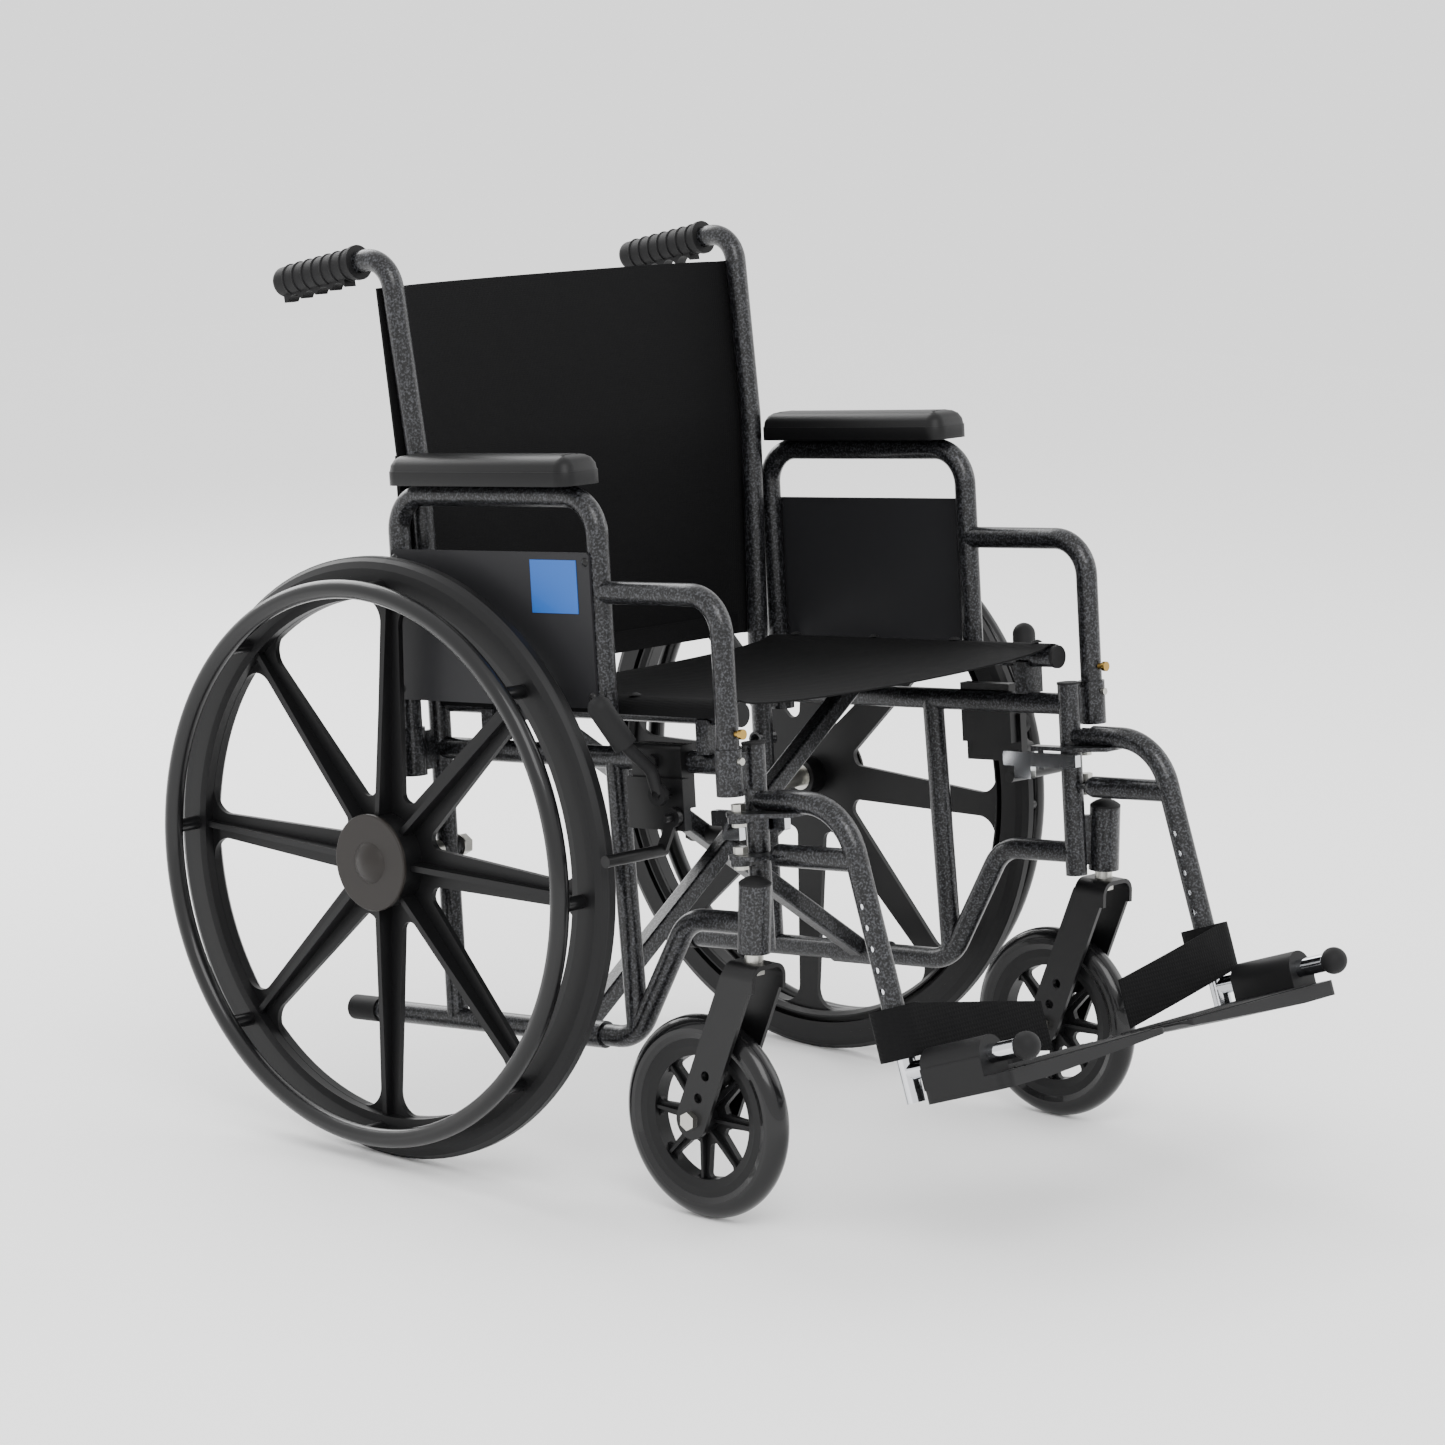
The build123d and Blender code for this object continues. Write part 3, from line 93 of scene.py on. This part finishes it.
# %%
def colour(code):
    """Linear colour from an sRGB hex code."""
    parts = [int(code[i : i + 2], 16) / 255 for i in (1, 3, 5)]
    return (*[c / 12.92 if c <= 0.04045 else ((c + 0.055) / 1.055) ** 2.4 for c in parts], 1.0)


def add(tree, kind, links=(), **values):
    """Add one node, set its inputs by name and link what feeds it."""
    made = tree.nodes.new(kind)
    for name, value in values.items():
        made.inputs[name.replace("_", " ")].default_value = value
    for name, source in links:
        tree.links.new(source, made.inputs[name])
    return made


def surface(name, code, rough, metal=0.0, coat=0.0, sheen=0.0, gloss=0.4):
    """A material with one principled surface; returns it with its tree and shader."""
    made = bpy.data.materials.new(name)
    made.use_nodes = True
    tree = made.node_tree
    shader = tree.nodes["Principled BSDF"]
    shader.inputs["Base Color"].default_value = colour(code)
    shader.inputs["Roughness"].default_value = rough
    shader.inputs["Metallic"].default_value = metal
    shader.inputs["Coat Weight"].default_value = coat
    shader.inputs["Sheen Weight"].default_value = sheen
    shader.inputs["Specular IOR Level"].default_value = gloss
    return made, tree, shader


def bump(tree, shader, height, depth_mm):
    """Feed a height into the surface's normal, as deep as real millimetres."""
    made = add(tree, "ShaderNodeBump", [("Height", height)], Strength=1.0, Distance=depth_mm / 1000)
    tree.links.new(made.outputs["Normal"], shader.inputs["Normal"])


def noise(tree, size_mm, detail=2.0):
    """Noise whose features are about this many millimetres across."""
    place = add(tree, "ShaderNodeTexCoord")
    return add(
        tree, "ShaderNodeTexNoise", [("Vector", place.outputs["Object"])],
        Scale=1000 / size_mm, Detail=detail,
    )


print("helpers ready")

# %% [markdown]
# Silver-vein powder coat: black powder with a bonded metal pigment that draws into veins as
# it cures, so the paint is lumpy, dark in the hollows and silver-grey on the ridges.

# %%
vein, tree, shader = surface("silver-vein powder coat, cured on steel", "#1c1c1e", 0.32, metal=0.3, coat=0.15)
grain = noise(tree, 2.2, 3.0)
ramp = add(tree, "ShaderNodeValToRGB", [("Fac", grain.outputs["Fac"])])
ramp.color_ramp.elements[0].position = 0.46
ramp.color_ramp.elements[0].color = colour("#09090a")
ramp.color_ramp.elements[1].position = 0.72
ramp.color_ramp.elements[1].color = colour("#45464a")
tree.links.new(ramp.outputs["Color"], shader.inputs["Base Color"])
bump(tree, shader, grain.outputs["Fac"], 0.18)
print(vein.name)

# %% [markdown]
# Moulded and cast finishes share one recipe: a dark base with a fine texture from the mould.
# The grain's size and depth tell rubber from glass-filled nylon and from grained vinyl skin.

# %%
def moulded(name, code, rough, grain_mm, depth_mm, coat=0.0):
    """A moulded finish with a fine grain."""
    made, its_tree, its_shader = surface(name, code, rough, coat=coat, gloss=0.22)
    bump(its_tree, its_shader, noise(its_tree, grain_mm).outputs["Fac"], depth_mm)
    return made


rubber = moulded("matt rubber, compression moulded", "#111112", 0.62, 0.8, 0.08)
tyre = moulded("solid polyurethane tyre, moulded", "#131314", 0.5, 1.2, 0.05)
gloss_tyre = moulded("smooth caster tyre, moulded", "#0d0d0e", 0.25, 2.0, 0.02, coat=0.3)
mag = moulded("glass-filled nylon, injection moulded", "#0f0f10", 0.42, 0.9, 0.06)
satin = moulded("polypropylene sheet, satin moulded", "#222224", 0.42, 0.6, 0.05)
cap_grey = moulded("nylon cap, injection moulded", "#24211f", 0.4, 1.0, 0.04)
vinyl = moulded("self-skinned foam, moulded", "#0d0d0e", 0.42, 1.4, 0.12)
treads = moulded("ribbed nylon, injection moulded", "#121213", 0.5, 1.0, 0.08)
rim_black = moulded("coated hand rim, smooth", "#0e0e0f", 0.32, 3.0, 0.02, coat=0.25)
print("nine moulded finishes")

# %% [markdown]
# The bright metals: chrome is a plain mirror with a touch of blue, zinc plating is duller and
# slightly blotched, and brass shows only on the buttons' heads.

# %%
chrome, tree, shader = surface("bright chrome plate on steel", "#d4d6da", 0.08, metal=1.0)
zinc, tree, shader = surface("clear zinc plate on steel", "#b9b8b2", 0.32, metal=1.0)
blotch = noise(tree, 6.0)
spread = add(tree, "ShaderNodeMapRange", [("Value", blotch.outputs["Fac"])])
spread.inputs["To Min"].default_value = 0.22
spread.inputs["To Max"].default_value = 0.45
tree.links.new(spread.outputs["Result"], shader.inputs["Roughness"])
brass, tree, shader = surface("yellow-passivated steel, turned", "#b08f4c", 0.3, metal=1.0)
black_steel, tree, shader = surface("satin black powder coat on flat steel", "#0b0b0c", 0.36, gloss=0.3)
bump(tree, shader, noise(tree, 1.5).outputs["Fac"], 0.06)
label_blue, tree, shader = surface("printed vinyl label", "#1c57a6", 0.4, coat=0.1)
print("metals ready")

# %% [markdown]
# Woven nylon: two crossed waves stand for warp and weft, a larger noise for the slight
# puckering of coated cloth. Webbing is the same weave, coarser.

# %%
def woven(name, code, thread_mm, depth_mm):
    """A plain weave from two crossed waves, over slight puckers."""
    made, its_tree, its_shader = surface(name, code, 0.8, gloss=0.12)
    place = add(its_tree, "ShaderNodeTexCoord").outputs["Object"]
    waves = []
    for way in ("X", "Z"):
        wave = add(its_tree, "ShaderNodeTexWave", [("Vector", place)], Scale=160 / thread_mm)
        wave.bands_direction = way
        waves.append(wave.outputs["Fac"])
    both = add(its_tree, "ShaderNodeMath", [(0, waves[0]), (1, waves[1])])
    both.operation = "MAXIMUM"
    pucker = noise(its_tree, 34.0, 3.0)
    scaled = add(its_tree, "ShaderNodeMath", [(0, pucker.outputs["Fac"])])
    scaled.operation = "MULTIPLY"
    scaled.inputs[1].default_value = 7.0
    total = add(its_tree, "ShaderNodeMath", [(0, both.outputs["Value"]), (1, scaled.outputs["Value"])])
    bump(its_tree, its_shader, total.outputs["Value"], depth_mm)
    return made


nylon = woven("coated nylon upholstery, woven", "#0a0a0b", 1.1, 0.18)
webbing = woven("polyester webbing, woven", "#0c0c0d", 2.0, 0.3)
print("cloth ready")

# %% [markdown]
# Each solid piece now takes its finish. The same table serves both sides.

# %%
FINISH = {
    vein: ("side_frame", "back_cane", "arm_frame", "hanger", "cross_brace"),
    rubber: ("push_grip", "frame_caps", "brake_lever", "seat_rail_trim"),
    tyre: ("rear_tyre",),
    gloss_tyre: ("caster_tyre",),
    mag: ("rear_wheel", "caster_wheel"),
    rim_black: ("handrim",),
    cap_grey: ("hub_cap",),
    zinc: ("rear_axle_set", "caster_hardware", "hinge_pins"),
    brass: ("arm_button",),
    black_steel: ("caster_fork", "arm_screws", "brake_clamp", "brake_shoe"),
    satin: ("side_panel",),
    treads: ("footplate",),
    chrome: ("hanger_latch", "footrest_stem"),
}
for finish, names in FINISH.items():
    for name in names:
        for side in SIDES:
            mesh = nodes[f"{name}_{side}"].data
            mesh.materials.clear()
            mesh.materials.append(finish)
print(sum(len(names) for names in FINISH.values()) * 2, "pieces finished")

# %% [markdown]
# Each plated footrest bar ends in a black moulded cap, one solid with the bar. Its faces take
# a second material, chosen by how near they lie to the bar's forward end.

# %%
for side in SIDES:
    mesh = nodes[f"footrest_stem_{side}"].data
    mesh.materials.append(rubber)
    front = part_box(f"footrest_stem_{side}")[0][1]
    place = nodes[f"footrest_stem_{side}"].matrix_world
    for face in mesh.polygons:
        if (place @ face.center).y < front + 0.0215:
            face.material_index = 1
print("two black end caps")

# %% [markdown]
# ## Helpers for the modelled pieces
# A finished piece keeps its shape in its vertices: its own place, turn and size are applied,
# so that it can ride on its body without moving.

# %%
def settle(obj, name, finish, angle=35):
    """Name a piece, apply its place and modifiers, smooth it and give it its finish."""
    bpy.ops.object.select_all(action="DESELECT")
    obj.select_set(True)
    bpy.context.view_layer.objects.active = obj
    for modifier in list(obj.modifiers):
        bpy.ops.object.modifier_apply(modifier=modifier.name)
    bpy.ops.object.transform_apply(location=True, rotation=True, scale=True)
    bpy.ops.object.shade_smooth_by_angle(angle=radians(angle))
    obj.name = name
    obj.data.name = name
    obj.data.materials.clear()
    obj.data.materials.append(finish)
    return obj


def pick(obj, test):
    """In edit mode, select the vertices that pass a test on their scene position."""
    bpy.ops.mesh.select_mode(type="VERT")
    bpy.ops.mesh.select_all(action="DESELECT")
    shape = bmesh.from_edit_mesh(obj.data)
    for vertex in shape.verts:
        vertex.select = bool(test(obj.matrix_world @ vertex.co))
    shape.select_flush(True)
    bmesh.update_edit_mesh(obj.data)


print("helpers ready")

# %% [markdown]
# ## Seat sling
# A flat panel of cloth over both seat rails. The middle is pulled down with a soft falloff
# for the sag, then the long edges are drawn out and down in three steps, round the rails.

# %%
SEAT_RAIL = 151.0
SEAT_TOP = SEAT_RAIL + TUBE_R + 0.6
SEAT_MIDDLE = -214
SEAT_DEPTH = 384
HALF = 247.0
bpy.ops.mesh.primitive_grid_add(
    x_subdivisions=56, y_subdivisions=40, size=1, location=at(0, SEAT_MIDDLE, SEAT_TOP)
)
seat = bpy.context.object
seat.scale = (2 * HALF / 1000, SEAT_DEPTH / 1000, 1)
seat.rotation_euler = (-PITCH, 0, 0)
bpy.ops.object.transform_apply(location=True, rotation=True, scale=True)
bpy.ops.object.mode_set(mode="EDIT")
pick(seat, lambda p: abs(p.x) < 0.006)
bpy.ops.transform.translate(
    value=(0, 0, -0.0125), use_proportional_edit=True,
    proportional_edit_falloff="SPHERE", proportional_size=0.238,
)
for side in (-1, 1):
    pick(seat, lambda p: p.x * side > HALF / 1000 - 0.0005)
    for out, down in ((6.5, -1.8), (4.6, -4.8), (1.2, -8.0)):
        bpy.ops.mesh.extrude_region_move(
            TRANSFORM_OT_translate={"value": (side * out / 1000, 0, down / 1000)}
        )
bpy.ops.mesh.select_all(action="SELECT")
bpy.ops.mesh.remove_doubles(threshold=0.0001)
bpy.ops.mesh.normals_make_consistent(inside=False)
bpy.ops.object.mode_set(mode="OBJECT")
thick = seat.modifiers.new("cloth", "SOLIDIFY")
thick.thickness = 0.0016
thick.offset = 1
settle(seat, "seat_cloth", nylon, 50)
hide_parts("seat_sling")
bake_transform(seat)
print(len(seat.data.vertices), "vertices in the seat")

# %% [markdown]
# ## Back sling
# The back hangs behind the canes from just under the handles to the seat. It is turned up
# square to the rails, its upper part leans back with the canes, and it bellies slightly.

# %%
LOW, BEND, TOP = 166.0, 400.0, 569.0
BACK_Y = 12.6
BACK_WIDTH = 534
CANE_LEAN = radians(5)
bpy.ops.mesh.primitive_grid_add(
    x_subdivisions=56, y_subdivisions=48, size=1, location=at(0, BACK_Y, (LOW + TOP) / 2)
)
back = bpy.context.object
back.scale = (BACK_WIDTH / 1000, (TOP - LOW) / 1000, 1)
back.rotation_euler = (pi / 2 - PITCH, 0, 0)
bpy.ops.object.transform_apply(location=True, rotation=True, scale=True)
hinge = at(0, BACK_Y, BEND)
up = (at(0, 0, 1) - at(0, 0, 0)).normalized()
bpy.ops.object.mode_set(mode="EDIT")
pick(back, lambda p: (p - hinge).dot(up) > 0.0)
bpy.ops.transform.rotate(
    value=CANE_LEAN, orient_axis="X", orient_type="GLOBAL", center_override=tuple(hinge)
)
pick(back, lambda p: abs(p.x) < 0.006)
bpy.ops.transform.translate(
    value=(0, 0.018, 0), use_proportional_edit=True,
    proportional_edit_falloff="SPHERE", proportional_size=0.235,
)
bpy.ops.object.mode_set(mode="OBJECT")
thick = back.modifiers.new("cloth", "SOLIDIFY")
thick.thickness = 0.0026
thick.offset = -1
settle(back, "back_cloth", nylon, 50)
print("back reaches y", round(max(v.co.y for v in back.data.vertices), 3))

# %% [markdown]
# The back's side pockets and hem: three strips a little proud of the cloth. The upright ones
# close the pocket behind each cane, and the level one is the turned hem at the foot.

# %%
strips = []
for x0, x1, z0, z1 in (
    (-267, -243, LOW, BEND), (243, 267, LOW, BEND), (-243, 243, LOW, LOW + 22),
):
    bpy.ops.mesh.primitive_grid_add(
        x_subdivisions=24, y_subdivisions=12, size=1, location=at((x0 + x1) / 2, 15.6, (z0 + z1) / 2)
    )
    strip = bpy.context.object
    strip.scale = ((x1 - x0) / 1000, (z1 - z0) / 1000, 1)
    strip.rotation_euler = (pi / 2 - PITCH, 0, 0)
    thick = strip.modifiers.new("hem", "SOLIDIFY")
    thick.thickness = 0.0016
    strips.append(settle(strip, f"back_hem_{len(strips) + 1}", nylon, 50))
for piece in [back, *strips]:
    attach(piece, "frame_right")
    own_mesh(piece)
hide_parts("back_sling")
print(len(strips), "hems")

# %% [markdown]
# ## Arm pads
# Moulded foam over a steel plate: an upright band with a crowned top. A block is bevelled
# round its corners, its top face is inset and raised in five steps for the crown, and its
# sharp edges are rounded off.

# %%
ARM_X, ARM_MIDDLE, ARM_TUBE = 281.0, -133.0, 362.5
for side, sign in SIDES.items():
    middle = at(sign * ARM_X, ARM_MIDDLE, ARM_TUBE + TUBE_R)
    bpy.ops.mesh.primitive_cube_add(size=1, location=(0, 0, 0))
    pad = bpy.context.object
    pad.scale = (0.057, 0.251, 0.014)
    bpy.ops.object.transform_apply(scale=True)
    bpy.ops.object.mode_set(mode="EDIT")
    bpy.ops.mesh.select_mode(type="EDGE")
    bpy.ops.mesh.select_all(action="DESELECT")
    shape = bmesh.from_edit_mesh(pad.data)
    for edge in shape.edges:
        ends = [v.co for v in edge.verts]
        edge.select = abs(ends[0].z - ends[1].z) > 0.01
    bmesh.update_edit_mesh(pad.data)
    bpy.ops.mesh.bevel(offset=0.016, segments=6, affect="EDGES")
    bpy.ops.mesh.select_mode(type="FACE")
    bpy.ops.mesh.select_all(action="DESELECT")
    shape = bmesh.from_edit_mesh(pad.data)
    for face in shape.faces:
        face.select = face.normal.z > 0.9
    bmesh.update_edit_mesh(pad.data)
    for inward, rise in ((0.0008, 0.0), (0.0012, 0.006), (0.004, 0.0055), (0.006, 0.003), (0.008, 0.0012)):
        bpy.ops.mesh.inset(thickness=inward, depth=0)
        bpy.ops.transform.translate(value=(0, 0, rise))
    bpy.ops.object.mode_set(mode="OBJECT")
    soft = pad.modifiers.new("round", "BEVEL")
    soft.width = 0.0012
    soft.segments = 2
    soft.limit_method = "ANGLE"
    pad.rotation_euler = (-PITCH, 0, 0)
    pad.location = middle + up * 0.007
    settle(pad, f"arm_cover_{side}", vinyl, 45)
    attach(pad, f"arm_{side}")
    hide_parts(f"arm_pad_{side}")
print("pads sit on the arms")

# %% [markdown]
# ## Heel loops
# A band of webbing goes round the lower end of each hanger tube and across to the inner
# corner of the footplate, so the foot can't slip back. It bends between the tube and the
# plate.

# %%
LEAN = radians(14.46)
HANGER_X, HANGER_Y, HANGER_Z = 244.5, -555.9, -10.9
LOOP_R, LOOP_TOP, LOOP_WIDTH, LOOP_REACH = 24.2, 111.5, 49.0, 182.5
DOWN = (0.0, -sin(LEAN), -cos(LEAN))
AHEAD = (0.0, -cos(LEAN), sin(LEAN))


def hung(x, down, ahead):
    """A point in the hanger's axes: down its slanting tube, ahead along the plate's bar."""
    y = HANGER_Y + DOWN[1] * down + AHEAD[1] * ahead
    z = HANGER_Z + DOWN[2] * down + AHEAD[2] * ahead
    return at(x, y, z)


for side, sign in SIDES.items():
    path = []
    for step in range(0, 25):
        turn = pi * 2 * step / 24
        path.append((HANGER_X - LOOP_R * sin(turn), LOOP_R * cos(turn), 0.0))
    for step in range(1, 9):
        share = step / 8
        path.append((HANGER_X - LOOP_REACH * share, LOOP_R + 2.0 * sin(pi * share), 29.0 * share))
    bpy.ops.mesh.primitive_plane_add(size=1, location=(0, 0, 0))
    loop = bpy.context.object
    bpy.ops.object.mode_set(mode="EDIT")
    bpy.ops.mesh.delete(type="VERT")
    shape = bmesh.from_edit_mesh(loop.data)
    rows = []
    for x, ahead, drop in path:
        rows.append([
            shape.verts.new(hung(sign * x, LOOP_TOP + drop + LOOP_WIDTH * k / 4, ahead)) for k in range(5)
        ])
    for a, b in zip(rows, rows[1:]):
        for k in range(4):
            shape.faces.new((a[k], a[k + 1], b[k + 1], b[k]))
    bmesh.update_edit_mesh(loop.data)
    bpy.ops.mesh.select_all(action="SELECT")
    bpy.ops.mesh.remove_doubles(threshold=0.0001)
    bpy.ops.mesh.normals_make_consistent(inside=False)
    bpy.ops.object.mode_set(mode="OBJECT")
    thick = loop.modifiers.new("webbing", "SOLIDIFY")
    thick.thickness = 0.0018
    settle(loop, f"heel_webbing_{side}", webbing, 50)
    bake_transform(loop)
    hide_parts(f"heel_loop_{side}")
print("two heel loops")

# %% [markdown]
# ## Grip ribs, treads and the blank label
# The handles have raised rings, the plates have ribs to stop a shoe sliding, and the right
# side panel carries a plain blue square where a maker's sticker would be.

# %%
ring_tilt = PITCH + radians(9.0)
for side, sign in SIDES.items():
    rings = []
    for k in range(7):
        spot = at(sign * 258.4, 74.0 + 14.0 * k, 601.5 - 0.1584 * (74.0 + 14.0 * k - 17.6))
        bpy.ops.mesh.primitive_torus_add(
            major_radius=0.0157, minor_radius=0.0012, major_segments=40, minor_segments=8,
            location=spot, rotation=(pi / 2 - ring_tilt, 0, 0),
        )
        rings.append(bpy.context.object)
    bpy.ops.object.select_all(action="DESELECT")
    for ring in rings:
        ring.select_set(True)
    bpy.context.view_layer.objects.active = rings[0]
    bpy.ops.object.join()
    grip = settle(bpy.context.object, f"grip_ribs_{side}", rubber, 60)
    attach(grip, f"frame_{side}")
print("fourteen grip rings")

# %% [markdown]
# Eight low ribs run across each footplate. They are square bars with their edges just broken,
# turned to the plate's slope and joined into one piece.

# %%
BAR_DOWN, PLATE_DROP = 173.4, 18.0
for side, sign in SIDES.items():
    ribs = []
    for k in range(8):
        a = hung(sign * 30.0, BAR_DOWN + PLATE_DROP, 36.0 + 12.0 * k)
        b = hung(sign * 222.0, BAR_DOWN + PLATE_DROP, 36.0 + 12.0 * k)
        bpy.ops.mesh.primitive_cube_add(size=1, location=(a + b) / 2)
        rib = bpy.context.object
        rib.scale = (abs(b.x - a.x), 0.003, 0.0018)
        rib.rotation_euler = (-(PITCH + LEAN), 0, 0)
        bpy.ops.object.transform_apply(location=True, rotation=True, scale=True)
        ribs.append(rib)
    bpy.ops.object.select_all(action="DESELECT")
    for rib in ribs:
        rib.select_set(True)
    bpy.context.view_layer.objects.active = ribs[0]
    bpy.ops.object.join()
    bars = bpy.context.object
    round_off = bars.modifiers.new("round", "BEVEL")
    round_off.width = 0.0006
    settle(bars, f"tread_ribs_{side}", treads, 40)
    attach(bars, f"plate_{side}")
print("sixteen tread ribs")

# %% [markdown]
# The sticker is a thin blank square on the outside of the right panel, cut from printed vinyl.

# %%
corner_a, corner_b = at(-294.8, -191.5, 249.6), at(-295.6, -253.5, 301.5)
bpy.ops.mesh.primitive_cube_add(size=1, location=(corner_a + corner_b) / 2)
label = bpy.context.object
label.scale = (0.0007, 0.062, 0.052)
label.rotation_euler = (-PITCH, 0, 0)
settle(label, "blank_label", label_blue, 30)
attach(label, "arm_right")
print("label", [round(v * 1000) for v in label.dimensions])

# %% [markdown]
# ## Studio
# A pale floor, a white surround and three broad soft lights: one high on the left of the
# camera, a weaker one from the right, and one behind that draws the edges of the black parts.

# %%
bpy.ops.mesh.primitive_plane_add(size=14, location=(0, 0, -0.0005))
floor = bpy.context.object
floor.name = "floor"
paper, tree, shader = surface("matt paper floor", "#ffffff", 0.9)
floor.data.materials.append(paper)
world = bpy.data.worlds.new("surround")
bpy.context.scene.world = world
world.use_nodes = True
world.node_tree.nodes["Background"].inputs["Color"].default_value = colour("#ffffff")
world.node_tree.nodes["Background"].inputs["Strength"].default_value = 1.6
LIGHTS = (
    ("key", (-2.2, -2.6, 3.4), 2.4, 110),
    ("fill", (3.0, -1.6, 2.2), 2.4, 30),
    ("rim", (0.6, 3.2, 2.6), 2.6, 120),
)
for name, place, size, power in LIGHTS:
    lamp = bpy.data.lights.new(name, "AREA")
    lamp.energy = power
    lamp.size = size
    light = bpy.data.objects.new(name, lamp)
    bpy.context.scene.collection.objects.link(light)
    light.location = place
    light.rotation_euler = (Vector((0, 0, 0.4)) - Vector(place)).to_track_quat("-Z", "Y").to_euler()
print("lights on")

# %% [markdown]
# The camera stands five metres off the chair's right front corner, with a long lens.

# %%
lens = bpy.data.cameras.new("camera")
lens.sensor_width = 36
lens.lens = 120.22
camera = bpy.data.objects.new("camera", lens)
bpy.context.scene.collection.objects.link(camera)
right = Vector((0.66850, -0.74364, 0.01024))
ahead = Vector((0.73344, 0.65693, -0.17466))
upward = right.cross(ahead)
spot = Vector((-3.6349, -3.4101 + AXLE.y, 1.2883))
camera.matrix_world = Matrix.Translation(spot) @ Matrix((right, upward, -ahead)).transposed().to_4x4()
bpy.context.scene.camera = camera
print("camera", [round(v, 3) for v in camera.location])
